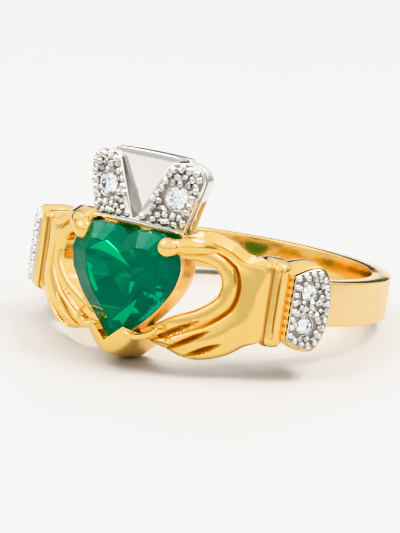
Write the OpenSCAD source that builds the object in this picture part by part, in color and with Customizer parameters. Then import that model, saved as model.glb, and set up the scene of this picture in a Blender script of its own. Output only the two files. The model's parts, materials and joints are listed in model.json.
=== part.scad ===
// Two-tone claddagh ring, lying on its side on the heel of its setting and the back of its band.
// Two hands hold a heart-cut stone, a pavé crown stands above it and a pavé cuff ends each wrist.
// The finger hole's centre is the origin. The head faces -Y and +Z is up from the surface.
// Each piece is drawn upright, with the finger along Z, and lay() turns it to its resting place.

/* [Finger hole and band] */
// Diameter of the finger hole
finger_d = 17.2; // [14:0.1:22]
// Thickness of the band
band_t = 1.15; // [0.9:0.05:1.8]
// Width of the band along the finger
band_w = 2.5; // [2:0.1:3.2]
// Flat broken along each edge of the band
band_edge = 0.12; // [0.05:0.01:0.25]

/* [Heart stone] */
// Width of the heart stone
heart_w = 6.86; // [6:0.02:7.8]
// Height of the heart stone, from its lobes to its tip
heart_h = 6.37; // [5.6:0.01:7.2]
// Height of the lobes' tops above the middle of the band
lobe_top = 2.97; // [2.6:0.01:3.4]
// Height of the stone's girdle above the finger
girdle_rise = 3.0; // [2.8:0.05:3.6]
// Thickness of the stone's girdle
girdle_t = 0.16; // [0.1:0.02:0.3]
// Height of the stone above its girdle
heart_top = 0.85; // [0.5:0.05:1.1]
// Depth of the stone below its girdle
heart_depth = 2.2; // [1.6:0.05:2.3]

/* [Setting] */
// Thickness of the wall that the heart stone sits on
collet_wall = 0.45; // [0.3:0.01:0.6]
// Depth of that wall
collet_depth = 1.1; // [0.9:0.05:1.5]
// Height of the V prong over the tip, above the girdle
prong_rise = 1.05; // [0.8:0.05:1.2]
// Half of the spread of the V prong's arms
prong_arm = 1.05; // [0.8:0.05:1.3]
// Half of the width of the heel where it meets the fingers
heel_w = 1.8; // [1.5:0.05:2.1]
// Radius of the ball at each thumb's end
ball_r = 0.57; // [0.45:0.01:0.6]
// Depth of the heel that the head rests on, below the middle of the band
heel_drop = 4.47; // [4.2:0.05:5]
// Distance of the heel's foot from the finger
heel_rise = 1.07; // [0.8:0.05:1.3]

/* [Hands] */
// Height of the palm's crest above the finger
hand_rise = 2.7; // [2.4:0.05:3]
// Length of a hand, from beside the heart to the wrist
hand_len = 4.42; // [4:0.02:5]
// Half of the height across the fingers
hand_h = 3.5; // [3.2:0.05:3.8]
// Thickness of the hand at the rim of its window
hand_t = 1.1; // [0.9:0.05:1.4]
// Width of the rounded rim round the window
rim_w = 0.8; // [0.6:0.05:1]
// Height of that rim
rim_h = 0.16; // [0.08:0.02:0.24]
// Depth of the grooves between the fingers
groove_d = 0.37; // [0.2:0.01:0.42]

/* [Cuffs] */
// Diameter of the half-round bead at the wrist
bead_d = 1.26; // [1:0.02:1.5]
// Height of that bead
bead_h = 4.6; // [4:0.05:5]
// Width of the pavé plaque round the band
plaque_w = 2.35; // [2:0.05:2.7]
// Height of the plaque
plaque_h = 4.5; // [4.1:0.05:5]
// Thickness of the plaque
plaque_t = 0.6; // [0.5:0.05:0.8]
// Height of the plaque's face above the gold round it
plaque_proud = 0.12; // [0.05:0.01:0.2]
// Width of the gold rim round the plaque
cuff_rim = 0.11; // [0.08:0.01:0.2]
// Height of the plaque's face above the finger
plaque_rise = 3.0; // [2.7:0.05:3.3]
// Diameter of a cuff diamond
cuff_stone_d = 0.9; // [0.7:0.02:1]

/* [Crown] */
// Height of the crown above its foot
crown_h = 4.1; // [3.4:0.05:4.4]
// Half of the width across the crown's shoulders
crown_shoulder = 3.62; // [3.3:0.02:4]
// Thickness of the crown's plate
crown_t = 0.6; // [0.5:0.05:0.8]
// Height that the petals stand above the plate
petal_t = 0.42; // [0.3:0.02:0.6]
// Distance of the crown's back from the finger
crown_rise = 1.1; // [1:0.05:1.5]
// Turn of a petal's face, which brings its inner edge forward
petal_turn = 11; // [0:1:15]
// Diameter of a crown diamond
crown_stone_d = 1.25; // [1:0.05:1.4]
// Radius of a bead along a petal's edge
petal_grain_r = 0.24; // [0.2:0.01:0.27]
// Spacing of the beads along a petal's edge
petal_grain_pitch = 0.6; // [0.56:0.01:0.7]

/* [Beading] */
// Radius of a bead along a plaque's edge
grain_r = 0.19; // [0.14:0.01:0.21]
// Spacing of the beads along a plaque's edge
grain_pitch = 0.45; // [0.44:0.01:0.6]
// Radius of a bead that holds a diamond
claw_r = 0.2; // [0.16:0.01:0.24]

/* [Fit] */
// Gap between two pieces
gap = 0.03; // [0.02:0.01:0.06]

/* [Hidden] */
$fn = 64;

finger_r = finger_d / 2;
band_r = finger_r + band_t;
girdle_y = finger_r + girdle_rise;
front_y = girdle_y + prong_rise;
palm_r = finger_r + hand_rise;
face_r = finger_r + plaque_rise;
heart_tip = lobe_top - heart_h;
heel_y = finger_r + heel_rise;
crown_back = finger_r + crown_rise;
crown_z = lobe_top + gap;
tilt = atan((heel_drop - band_w / 2) / (band_r - band_edge + heel_y));
// The head's pieces clear the finger hole by this much, so that only the band bears on the finger
relief = 0.2;
thumb_lift = girdle_y + 0.84 * ball_r - palm_r;
// The collet's wall ends this far below the lobes' tops
collet_stop = 0.45;
// The crown's foot stands this far in front of its petals
foot_lip = 0.06;

// A hand is drawn on its unrolled palm: shares of its length along the palm, from beside the
// heart, and shares of its height up the finger.
// Columns: window edge along, window edge up, outer edge along, outer edge up, share of the
// thumb's lift, thickness as a share of hand_t, share of rim_h, share of a crisp outer bevel
HAND = [
    [-0.140,  0.530, -0.130,  0.790,  1.09, 1.00, 0.0, 0.0],
    [-0.040,  0.520, -0.050,  0.880,  0.90, 1.00, 0.0, 0.4],
    [ 0.090,  0.510,  0.070,  0.940,  0.46, 1.00, 0.2, 1.0],
    [ 0.230,  0.480,  0.285,  0.945,  0.13, 1.05, 0.6, 1.0],
    [ 0.350,  0.420,  0.550,  0.850,  0.00, 1.15, 0.9, 1.0],
    [ 0.425,  0.320,  0.780,  0.700,  0.00, 1.35, 1.0, 1.0],
    [ 0.455,  0.200,  1.000,  0.580,  0.00, 1.60, 1.0, 0.6],
    [ 0.450,  0.100,  1.020,  0.030,  0.00, 1.75, 1.0, 0.2],
    [ 0.425,  0.000,  1.000, -0.530,  0.00, 1.70, 1.0, 0.0],
    [ 0.330, -0.120,  0.850, -0.740,  0.00, 1.50, 1.0, 0.0],
    [ 0.180, -0.254,  0.625, -0.920,  0.03, 1.30, 0.9, 0.0],
    [ 0.000, -0.360,  0.330, -1.040,  0.06, 1.20, 0.7, 0.0],
    [-0.120, -0.437,  0.080, -1.040,  0.05, 1.15, 0.5, 0.0],
    [-0.310, -0.594, -0.120, -0.970, -0.13, 1.15, 0.3, 0.0],
    [-0.530, -0.730, -0.350, -0.900, -0.38, 1.10, 0.0, 0.0]];

// The grooves between the four fingers, in the same shares
// Columns: wrist end along, wrist end up, tip end along, tip end up
GROOVES = [
    [0.270, -0.394, -0.330, -0.870],
    [0.410, -0.529, -0.130, -0.960],
    [0.570, -0.706,  0.130, -1.000]];

// The heel under the heart's tip, drawn as sections from the V prong back to the finger
// Columns: share of the way back, share of the drop from the tip to the foot, half width of the
// keel, share of the widening to heel_w, height of the top as a share of the tip's depth
HEEL = [
    [0.00, 0.00, 0.05, 0.00, 0.76],
    [0.17, 0.48, 0.10, 0.25, 0.76],
    [0.40, 0.76, 0.20, 0.60, 0.78],
    [0.64, 0.90, 0.28, 0.90, 0.80],
    [1.00, 1.00, 0.34, 1.00, 0.84],
    [1.25, 0.72, 0.30, 0.75, 0.95]];

function bezier(p, t) = pow(1 - t, 3) * p[0] + 3 * t * pow(1 - t, 2) * p[1]
    + 3 * t * t * (1 - t) * p[2] + pow(t, 3) * p[3];

// A point of a table at row place i, on a smooth curve through its rows
function row_at(table, i) =
    let (last = len(table) - 1, k = min(floor(i), last - 1), t = i - k,
        a = table[max(k - 1, 0)], b = table[k], c = table[k + 1], d = table[min(k + 2, last)])
    0.5 * (2 * b + (c - a) * t + (2 * a - 5 * b + 4 * c - d) * t * t
        + (3 * b - a - 3 * c + d) * t * t * t);

// A point at an arc length round the finger, measured on the palm, a radius and a height
function wrapped(along, r, up) =
    let (angle = along / palm_r * 180 / PI) [r * sin(angle), -r * cos(angle), up];

// Right half of the heart's outline, from the cleft over the lobe to the tip
function heart_half(steps) =
    let (w = heart_w / 2, h = heart_h,
        cleft = [[0, -0.075 * h], [0.13 * w, -0.005 * h], [0.29 * w, 0], [0.47 * w, 0]],
        lobe = [[0.47 * w, 0], [0.77 * w, 0], [w, -0.12 * h], [w, -0.285 * h]],
        flank = [[w, -0.285 * h], [w, -0.50 * h], [0.56 * w, -0.77 * h], [0, -h]])
    [for (side = [[cleft, 0.25], [lobe, 0.3], [flank, 0.45]])
        let (count = round(side[1] * steps))
            for (i = [0 : count - 1]) bezier(side[0], i / count)];

// The whole outline as x and z, grown by an offset along its own normals
function heart_outline(grow, steps) =
    let (half = heart_half(steps),
        left = [for (i = [len(half) - 1 : -1 : 1]) [-half[i][0], half[i][1]]],
        raw = concat(half, [[0, -heart_h]], left),
        count = len(raw))
    [for (i = [0 : count - 1])
        let (before = raw[(i + count - 1) % count], after = raw[(i + 1) % count],
            run = after - before, normal = [-run[1], run[0]] / norm(run),
            corner = i == 0 ? 0.9 : i == len(half) ? 1.35 : 1)
        raw[i] + corner * grow * normal + [0, lobe_top]];

// Rings of points skinned into a closed solid
module skin(rings) {
    n = len(rings[0]);
    last = len(rings) - 1;
    sides = [for (i = [0 : last - 1]) for (j = [0 : n - 1])
        for (f = [[i * n + j, i * n + (j + 1) % n, (i + 1) * n + (j + 1) % n],
            [i * n + j, (i + 1) * n + (j + 1) % n, (i + 1) * n + j]]) f];
    ends = concat([for (j = [1 : n - 2]) [0, j + 1, j]],
        [for (j = [1 : n - 2]) [last * n, last * n + j, last * n + j + 1]]);
    polyhedron([for (ring = rings) for (p = ring) p], concat(sides, ends), convexity = 8);
}

// A drawing in x and z, extruded from y_back to y_front towards the viewer
module facing(y_back, y_front) {
    translate([0, -y_back, 0]) rotate([90, 0, 0]) linear_extrude(y_front - y_back) children();
}

module lay() { rotate([-tilt, 0, 0]) children(); }

module both_sides() {
    children();
    mirror([1, 0, 0]) children();
}

// Half of a wrist's cuff runs on from the hand: bead, row of grains, then the plaque
hand_start = heart_w / 2;
wrist = hand_start + hand_len;
grain_row = wrist + bead_d + 0.04;
plaque_start = grain_row + 0.14;
plaque_turn = plaque_start / palm_r * 180 / PI + atan(plaque_w / 2 / face_r);
seat_r = face_r - plaque_t - gap;
cuff_face = face_r - plaque_proud;
wrist_angle = wrist / palm_r * 180 / PI;

// Stations over the hand's section, from the window's edge to the outer edge
// Columns: shares of the rim, of the palm and of the bevel that the station has passed
ACROSS = [[0, 0, 0], [0.12, 0, 0], [0.3, 0, 0], [0.52, 0, 0], [0.78, 0, 0], [1, 0, 0],
    [1, 0.2, 0], [1, 0.5, 0], [1, 0.8, 0], [1, 1, 0], [1, 1, 0.4], [1, 1, 0.75], [1, 1, 1]];
// Width and fall of the bevel along the hand's outer edge
bevel_w = 0.5;
bevel_fall = 0.6;
// Fall of the window's rounded edge
rim_fall = 0.14;
// Depth of the crease between the window's rim and the palm
crease_d = 0.14;
// Swell of the palm between the crease and the edge
palm_swell = 0.16;
// Height of a groove's pointed ends above the palm, and its length as a share of its table's
groove_lift = 0.08;
groove_run = 1.15;

function along_hand(share) = hand_start + share * hand_len;

// Place of a station as unrolled x and z; a narrow section shrinks its rim and bevel alike
function hand_place(row, k) =
    let (p = [along_hand(row[0]), row[1] * hand_h], q = [along_hand(row[2]), row[3] * hand_h],
        wide = norm(q - p), s = min(1, wide / (1.35 * (rim_w + bevel_w))),
        palm = wide - s * (rim_w + bevel_w))
    p + (q - p) / wide * (s * (k[0] * rim_w + k[2] * bevel_w) + k[1] * palm);

function hand_front(row, k) =
    let (at = hand_place(row, k),
        rim = row[6] * rim_h * sin(180 * k[0]) - rim_fall * pow(max(0, 1 - 4 * k[0]), 2),
        crease = k[0] < 1 || k[1] > 0 ? 0 : row[6] * crease_d,
        swell = palm_swell * sin(180 * k[1]),
        edge = bevel_fall * (row[7] * k[2] + (1 - row[7]) * (1 - sqrt(1 - pow(k[2], 2)))))
    wrapped(at[0], palm_r + row[4] * thumb_lift + rim - crease + swell - edge, at[1]);

function hand_back(row, k) =
    let (at = hand_place(row, k))
    wrapped(at[0], max(palm_r + row[4] * thumb_lift - hand_t * row[5], finger_r + relief), at[1]);

function hand_ring(i) =
    let (row = row_at(HAND, i))
    concat([for (k = ACROSS) hand_front(row, k)],
        [for (k = [[1, 1, 0.9], [1, 0.5, 0], [0.04, 0, 0]]) hand_back(row, k)]);

// The pointed spindles that cut the grooves between the fingers
module grooves() {
    for (g = GROOVES) {
        a = wrapped(along_hand(g[0]), palm_r + palm_swell + groove_lift, g[1] * hand_h);
        b = wrapped(along_hand(g[2]), palm_r + groove_lift, g[3] * hand_h);
        run = b - a;
        flat = norm([run[0], run[1]]);
        translate(a) rotate([0, atan2(flat, run[2]), atan2(run[1], run[0])])
            finger_groove(groove_run * norm(run));
    }
}

module finger_groove(length) {
    steps = 8;
    side = [for (i = [1 : steps - 1]) [groove_d * sin(180 * pow(i / steps, 0.8)), i / steps * length]];
    rotate_extrude() polygon(concat([[0, 0]], side, [[0, length]]));
}

module hand() {
    per_row = 2;
    last = (len(HAND) - 1) * per_row;
    difference() {
        skin([for (i = [0 : last]) hand_ring(i / per_row)]);
        grooves();
    }
}

// Shares of the bead's diameter: its middle past the wrist, and the rounding of its corners
bead_at = 0.42;
bead_round = 0.62;
// Radius of the grains that stand in a row between the bead and the plaque
cuff_grain_r = 0.24;

// Half of the width by which the V prong laps over the stone
prong_lip = 0.16;
// Ledge of the collet outside the stone's edge
collet_lip = 0.1;

// The ball that each thumb lays on the stone's edge
module thumb_ball() {
    translate([0.793 * heart_w / 2, -girdle_y - 0.67 * ball_r, lobe_top - 0.104 * heart_h])
        sphere(ball_r);
}

function heel_ring(row) =
    let (drop = heel_drop + heart_tip + 0.1,
        y = -front_y + row[0] * (front_y - heel_y),
        low = heart_tip + 0.1 - row[1] * drop, high = heart_tip * row[4])
    let (wide = prong_arm + row[3] * (heel_w - prong_arm))
    [[wide, y, high], [-wide, y, high], [-wide, y, high - 0.12], [-row[2], y, low],
        [row[2], y, low], [wide, y, high - 0.12]];

module heel() {
    skin([for (i = [0 : 3 * (len(HEEL) - 1)]) heel_ring(row_at(HEEL, i / 3))]);
}

// The wall under the stone's girdle, open behind and left off above the thumbs
module collet() {
    intersection() {
        facing(girdle_y - collet_depth, girdle_y) difference() {
            polygon(heart_outline(collet_lip, 24));
            polygon(heart_outline(collet_lip - collet_wall, 24));
        }
        translate([-heart_w, -front_y, heart_tip - heart_h])
            cube([2 * heart_w, front_y, 2 * heart_h - collet_stop]);
    }
}

// Height and thickness of the rail
rail_h = 0.62;
rail_t = 1.05;

// The rail behind the lobes, which joins both hands and carries the crown
module crown_rail() {
    span = 2 * along_hand(0.12) / palm_r * 180 / PI;
    rotate([0, 0, -90 - span / 2]) rotate_extrude(angle = span)
        translate([crown_back, lobe_top - rail_h]) square([rail_t, rail_h - gap]);
}

module band() {
    from = wrist_angle;
    profile = [[finger_r, band_edge - band_w / 2], [finger_r + band_edge, -band_w / 2],
        [band_r - band_edge, -band_w / 2], [band_r, band_edge - band_w / 2],
        [band_r, band_w / 2 - band_edge], [band_r - band_edge, band_w / 2],
        [finger_r + band_edge, band_w / 2], [finger_r, band_w / 2 - band_edge]];
    rotate([0, 0, from - 90]) rotate_extrude(angle = 360 - 2 * from, $fn = 128) polygon(profile);
}

// The bead's outline seen from outside: upright, with rounded corners
module bead_outline() {
    r = bead_d / 2;
    round = bead_round * r;
    union() {
        translate([-r, round - bead_h / 2]) square([2 * r, bead_h - 2 * round]);
        translate([round - r, -bead_h / 2]) square([2 * (r - round), bead_h]);
        for (x = [-1, 1], z = [-1, 1])
            translate([x * (r - round), z * (bead_h / 2 - round)]) circle(round);
    }
}

// The bead has a half-round front and runs straight back to the finger
module bead() {
    r = bead_d / 2;
    rotate([0, 0, (wrist + bead_at * bead_d) / palm_r * 180 / PI]) {
        facing(finger_r, face_r - r) bead_outline();
        translate([0, r - face_r, 0]) rotate_extrude() intersection() {
            bead_outline();
            translate([0, -bead_h]) square([r, 2 * bead_h]);
        }
    }
}

// The grains stop at the plaque's edge
module grains() {
    pitch = 2.1 * cuff_grain_r;
    count = floor((0.78 * plaque_h - 2 * cuff_grain_r) / pitch);
    difference() {
        for (i = [0 : count])
            translate(wrapped(grain_row, cuff_face - cuff_grain_r, (i - count / 2) * pitch))
                sphere(cuff_grain_r);
        at_plaque() facing(seat_r, face_r) polygon(inset(plaque_outline(), gap));
    }
}

module at_plaque() { rotate([0, 0, plaque_turn]) children(); }

// A D-shaped block from the plaque back to the finger, with a tray that the plaque sits in
module cuff() {
    at_plaque() difference() {
        facing(finger_r, cuff_face) polygon(inset(plaque_outline(), cuff_rim));
        facing(seat_r, face_r) polygon(inset(plaque_outline(), gap));
    }
}

module gold_shank() {
    color("goldenrod") lay() {
        band();
        difference() {
            union() {
                collet();
                crown_rail();
                heel();
                both_sides() {
                    hand();
                    thumb_ball();
                    cuff();
                    bead();
                    grains();
                }
            }
            heart_solid(gap);
            facing(girdle_y + 2 * prong_lip, front_y + prong_rise) intersection() {
                polygon(heart_outline(-2 * prong_lip, 24));
                translate([-heart_w, heart_tip]) square([2 * heart_w, -heart_tip]);
            }
            cylinder(h = 4 * hand_h, r = finger_r + relief, center = true, $fn = 128);
        }
    }
}

// The heart stone, grown by a gap where it cuts its seat
module heart_solid(grow) {
    outline = heart_outline(grow, 24);
    middle = [0, lobe_top - 0.42 * heart_h];
    // Columns: share of the outline, distance in front of the girdle's middle
    table = [[0.04, -girdle_t / 2 - heart_depth], [0.6, -girdle_t / 2 - 0.55 * heart_depth],
        [1, -girdle_t / 2], [1, girdle_t / 2], [0.965, girdle_t / 2 + 0.24 * heart_top],
        [0.6, girdle_t / 2 + heart_top]];
    skin([for (ring = table) [for (p = outline)
        let (q = middle + (p - middle) * ring[0])
        [q[0], -girdle_y - ring[1] - grow * sign(ring[1]), q[1]]]]);
}

module heart_emerald() { color("seagreen") lay() heart_solid(0); }

// A round brilliant with its girdle on the face at z = 0, growing up towards +Z
module brilliant(d) {
    // Columns: share of the radius, share of the diameter above the girdle, turn of the ring
    table = [[0.03, -0.43, 0], [1, -0.02, 0], [1, 0.02, 0], [0.56, 0.15, 11.25]];
    skin([for (ring = table) [for (i = [15 : -1 : 0])
        let (angle = i * 22.5 + ring[2])
        [ring[0] * d / 2 * cos(angle), ring[0] * d / 2 * sin(angle), ring[1] * d]]]);
}

// The hole that a brilliant sits in, sunk from a face at z = 0
module stone_seat(d) {
    translate([0, 0, -0.02 * d - gap]) cylinder(h = d, r = d / 2 + gap);
    translate([0, 0, -0.45 * d - gap]) cylinder(h = 0.43 * d, r1 = 0.05 * d, r2 = d / 2 + gap);
}

// Beads spaced along the first sides of a closed path of x and z points
function path_length(path) = let (n = len(path))
    [for (i = 0, sum = 0; i <= n; sum = sum + norm(path[(i + 1) % n] - path[i % n]), i = i + 1) sum];

module beads_along(path, y, r, pitch, sides) {
    n = len(path);
    marks = path_length(path);
    count = round(marks[sides] / pitch);
    for (k = [0 : sides < n ? count : count - 1]) {
        s = k * marks[sides] / count;
        i = max([for (j = [0 : sides - 1]) if (marks[j] <= s) j]);
        p = path[i] + (path[(i + 1) % n] - path[i]) * (s - marks[i]) / (marks[i + 1] - marks[i]);
        translate([p[0], -y, p[1]]) sphere(r);
    }
}

// A petal of the crown, as shares of the shoulder's half width and the crown's height
PETAL = [[0, 0.075], [0.80, 0.03], [0.90, 0.36], [1.00, 0.69], [0.985, 0.79], [0.92, 0.875],
    [0.81, 0.925], [0.64, 0.935], [0.50, 0.91], [0.42, 0.86]];
// The plate behind the petals, right half, in the same shares
PLATE = [[0.80, 0], [0.90, 0.36], [1.00, 0.69], [0.985, 0.79], [0.92, 0.875], [0.81, 0.925],
    [0.66, 0.94], [0.62, 0.985], [0.3, 0.997], [0, 1]];
// The bar under each petal, in the same shares
FOOT = [[-0.03, 0.045], [0.80, 0], [0.815, 0.055], [-0.03, 0.1]];
// The smooth panel between the petals, right half, in the same shares
PANEL = [[0, 0.05], [0.1, 0.12], [0.47, 0.9], [0.60, 0.95], [0.58, 0.985], [0.3, 0.997], [0, 1]];
petal_front = crown_back + crown_t + petal_t;
// Height of the panel's face, as a share of the petals'
panel_rise = 1.4;
// The turned petals reach back to the middle of the plate at their inner edges
petal_back = crown_back + crown_t / 2 - crown_shoulder * sin(petal_turn);

function mirrored(half) = concat(half, [for (i = [len(half) - 2 : -1 : 0]) [-half[i][0], half[i][1]]]);

function crown_point(share) = [share[0] * crown_shoulder, crown_z + share[1] * crown_h];

// A path shrunk towards its inside by a distance, corner by corner
function inset(path, by) =
    let (n = len(path))
    [for (i = [0 : n - 1])
        let (a = path[i] - path[(i + n - 1) % n], b = path[(i + 1) % n] - path[i],
            na = [-a[1], a[0]] / norm(a), nb = [-b[1], b[0]] / norm(b))
        path[i] + by * (na + nb) / (1 + na * nb)];

// A petal turns about its shoulder
module turned() {
    translate([crown_shoulder, -petal_front, 0]) rotate([0, 0, petal_turn])
        translate([-crown_shoulder, petal_front, 0]) children();
}

module crown_gem_place() {
    at = crown_point([0.61, 0.465]);
    turned() translate([at[0], -petal_front, at[1]]) rotate([0, 19, 0]) rotate([90, 0, 0])
        children();
}

module crown() {
    petal = [for (p = PETAL) crown_point(p)];
    color("gainsboro") lay() difference() {
        union() {
            facing(crown_back, crown_back + crown_t)
                polygon(mirrored([for (p = PLATE) crown_point(p)]));
            facing(crown_back, crown_back + crown_t + panel_rise * petal_t)
                polygon(mirrored([for (p = PANEL) crown_point(p)]));
            both_sides() {
                turned() {
                    facing(petal_back, petal_front) polygon(petal);
                    facing(petal_back, petal_front + foot_lip)
                        polygon([for (p = FOOT) crown_point(p)]);
                    beads_along(inset(petal, 1.15 * petal_grain_r), petal_front, petal_grain_r,
                        petal_grain_pitch, len(petal) - 1);
                }
                crown_gem_place() for (x = [-1, 1], y = [-1, 1])
                    translate([x * 1.35 * claw_r, y * (crown_stone_d / 2 + 1.5 * claw_r), 0])
                        sphere(claw_r);
            }
        }
        both_sides() crown_gem_place() stone_seat(crown_stone_d);
        translate([-crown_shoulder, -crown_back, crown_z])
            cube([2 * crown_shoulder, crown_back, crown_h]);
    }
}

module crown_diamond(side) {
    color("aliceblue") lay() scale([side, 1, 1]) crown_gem_place() brilliant(crown_stone_d);
}

module crown_diamond_left() { crown_diamond(-1); }

module crown_diamond_right() { crown_diamond(1); }

// Upper half of the plaque's outline, from the wrist's edge round to its back
function plaque_upper() =
    let (w = plaque_w, h = plaque_h,
        rise = [[-0.5 * w, 0.39 * h], [-0.3 * w, 0.45 * h], [-0.1 * w, 0.5 * h], [0.1 * w, 0.5 * h]],
        belly = [[0.1 * w, 0.5 * h], [0.33 * w, 0.5 * h], [0.5 * w, 0.25 * h], [0.5 * w, 0]])
    concat([for (i = [0 : 3]) bezier(rise, i / 4)], [for (i = [0 : 6]) bezier(belly, i / 6)]);

function plaque_outline() =
    let (up = plaque_upper()) concat(up, [for (i = [len(up) - 2 : -1 : 0]) [up[i][0], -up[i][1]]]);

module plaque_gem_place(up) {
    translate([-0.1 * plaque_w, -face_r, up * 0.205 * plaque_h]) rotate([90, 0, 0]) children();
}

module cuff_plaque() {
    outline = plaque_outline();
    at_plaque() {
        difference() {
            facing(face_r - plaque_t, face_r) polygon(outline);
            for (up = [-1, 1]) plaque_gem_place(up) stone_seat(cuff_stone_d);
        }
        beads_along(inset(outline, -1.15 * grain_r), face_r, grain_r, grain_pitch, len(outline));
        for (place = [[-0.16, 0], [0.02, 0.03], [0.2, 0.1], [0.2, -0.1], [0.22, 0.3], [0.22, -0.3]])
            translate([place[0] * plaque_w, -face_r, place[1] * plaque_h]) sphere(claw_r);
    }
}

module cuff_plaque_left() { color("gainsboro") lay() mirror([1, 0, 0]) cuff_plaque(); }

module cuff_plaque_right() { color("gainsboro") lay() cuff_plaque(); }

module cuff_diamond(side, up) {
    color("aliceblue") lay() scale([side, 1, 1]) at_plaque()
        plaque_gem_place(up) brilliant(cuff_stone_d);
}

module cuff_diamond_left_upper() { cuff_diamond(-1, 1); }

module cuff_diamond_left_lower() { cuff_diamond(-1, -1); }

module cuff_diamond_right_upper() { cuff_diamond(1, 1); }

module cuff_diamond_right_lower() { cuff_diamond(1, -1); }

gold_shank();
crown();
cuff_plaque_left();
cuff_plaque_right();
heart_emerald();
crown_diamond_left();
crown_diamond_right();
cuff_diamond_left_upper();
cuff_diamond_left_lower();
cuff_diamond_right_upper();
cuff_diamond_right_lower();
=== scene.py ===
# %% [markdown]
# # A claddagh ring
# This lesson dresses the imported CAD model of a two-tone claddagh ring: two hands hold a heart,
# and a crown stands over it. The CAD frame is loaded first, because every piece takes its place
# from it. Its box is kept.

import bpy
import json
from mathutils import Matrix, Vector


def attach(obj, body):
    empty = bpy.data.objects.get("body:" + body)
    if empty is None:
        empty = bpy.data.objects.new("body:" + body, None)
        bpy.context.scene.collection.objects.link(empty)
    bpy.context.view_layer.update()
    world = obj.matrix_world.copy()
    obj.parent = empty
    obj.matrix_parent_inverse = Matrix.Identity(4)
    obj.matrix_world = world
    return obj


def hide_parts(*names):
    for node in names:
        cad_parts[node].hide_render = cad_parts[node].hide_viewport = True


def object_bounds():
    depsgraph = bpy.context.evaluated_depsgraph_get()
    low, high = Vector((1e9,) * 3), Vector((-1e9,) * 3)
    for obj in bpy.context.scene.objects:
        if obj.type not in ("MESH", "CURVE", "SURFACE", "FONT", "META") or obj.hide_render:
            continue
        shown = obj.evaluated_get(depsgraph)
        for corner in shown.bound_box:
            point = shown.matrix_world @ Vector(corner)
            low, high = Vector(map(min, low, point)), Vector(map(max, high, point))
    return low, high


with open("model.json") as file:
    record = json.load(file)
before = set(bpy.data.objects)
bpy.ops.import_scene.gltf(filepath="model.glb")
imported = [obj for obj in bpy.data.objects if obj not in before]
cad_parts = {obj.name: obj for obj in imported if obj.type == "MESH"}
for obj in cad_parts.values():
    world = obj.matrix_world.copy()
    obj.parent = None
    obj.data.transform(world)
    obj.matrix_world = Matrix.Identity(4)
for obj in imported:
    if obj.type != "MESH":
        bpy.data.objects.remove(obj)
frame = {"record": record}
cad_box = [list(corner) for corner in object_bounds()]

import json
import math
import random

import bmesh
import bpy
from mathutils import Matrix, Vector

print("CAD box in metres:", cad_box)

# %% [markdown]
# ## Sizes
# A ring is easiest to draw upright, with the finger along Z and the head towards -Y, and in
# millimetres. The real one lies on its side, tipped back onto the heel below its heart. The
# finger hole's mount in the record holds the hole's radius and that tilt. The other sizes are
# those of the solids.

# %% Sizes in millimetres
bore = frame["record"]["mounts"][0]
FINGER_R = bore["dims"]["r_mm"]
TILT = math.atan2(bore["axis"][1], bore["axis"][2])
BAND_T, BAND_W = 1.15, 2.5
BAND_R = FINGER_R + BAND_T
RELIEF = 0.2  # pieces behind the palm stop this far from the finger
HEART_W, HEART_H, LOBE_TOP = 6.86, 6.37, 2.97
HEART_TIP = LOBE_TOP - HEART_H
GIRDLE_Y = FINGER_R + 3.0
FRONT_Y = GIRDLE_Y + 1.05
PALM_R = FINGER_R + 2.7
FACE_R = FINGER_R + 3.0
CROWN_BACK = FINGER_R + 1.1
GAP = 0.03  # between two metals, and round a stone
print(f"finger hole {2 * FINGER_R:.1f} mm, tilted back by {math.degrees(TILT):.1f} degrees")

# %% [markdown]
# ## Small tools
# Colours are written as the hex values that a picture editor shows, which are sRGB, while a
# shader wants linear light, so one function turns them. Another adds a shader node with its
# settings and links in one line, which keeps each material short enough to read as a recipe.
# No real surface has one flat colour, so a third lets a colour drift between two close tones.

# %% Colour and node helpers
def linear(hex_code):
    parts = [int(hex_code[i:i + 2], 16) / 255 for i in (1, 3, 5)]
    return [c / 12.92 if c <= 0.04045 else ((c + 0.055) / 1.055) ** 2.4 for c in parts] + [1.0]


def add(tree, kind, settings=None, **inputs):
    """A node of this kind, with attributes from settings and sockets from inputs or links."""
    node = tree.nodes.new(kind)
    for key, value in (settings or {}).items():
        setattr(node, key, value)
    for key, value in inputs.items():
        socket = node.inputs[int(key[1:])] if key[0] == "_" else node.inputs[key.replace("_", " ")]
        if isinstance(value, bpy.types.NodeSocket):
            tree.links.new(value, socket)
        else:
            socket.default_value = value
    return node


def new_material(name):
    """An empty material with its output node, ready for a shader."""
    material = bpy.data.materials.new(name)
    material.use_nodes = True
    tree = material.node_tree
    tree.nodes.clear()
    out = add(tree, "ShaderNodeOutputMaterial")
    where = add(tree, "ShaderNodeTexCoord").outputs["Object"]
    return material, tree, out, where


def two_tones(tree, where, cloud_mm, detail, deep, light):
    """A colour that drifts between two close tones, in clouds of this size."""
    clouds = add(tree, "ShaderNodeTexNoise", Vector=where, Scale=MM / cloud_mm, Detail=detail)
    return add(tree, "ShaderNodeMix", {"data_type": "RGBA"}, _0=clouds.outputs[0],
               _6=linear(deep), _7=linear(light)).outputs[2]


def toned_material(name, *tones, **look):
    """A material of such a colour, whose other sockets are given by name."""
    material, tree, out, where = new_material(name)
    shader = add(tree, "ShaderNodeBsdfPrincipled",
                 Base_Color=two_tones(tree, where, *tones), **look)
    tree.links.new(shader.outputs[0], out.inputs["Surface"])
    return material


MM = 1000.0  # millimetres in a metre
print("sRGB mid grey in linear light:", round(linear("#808080")[0], 3))
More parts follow.
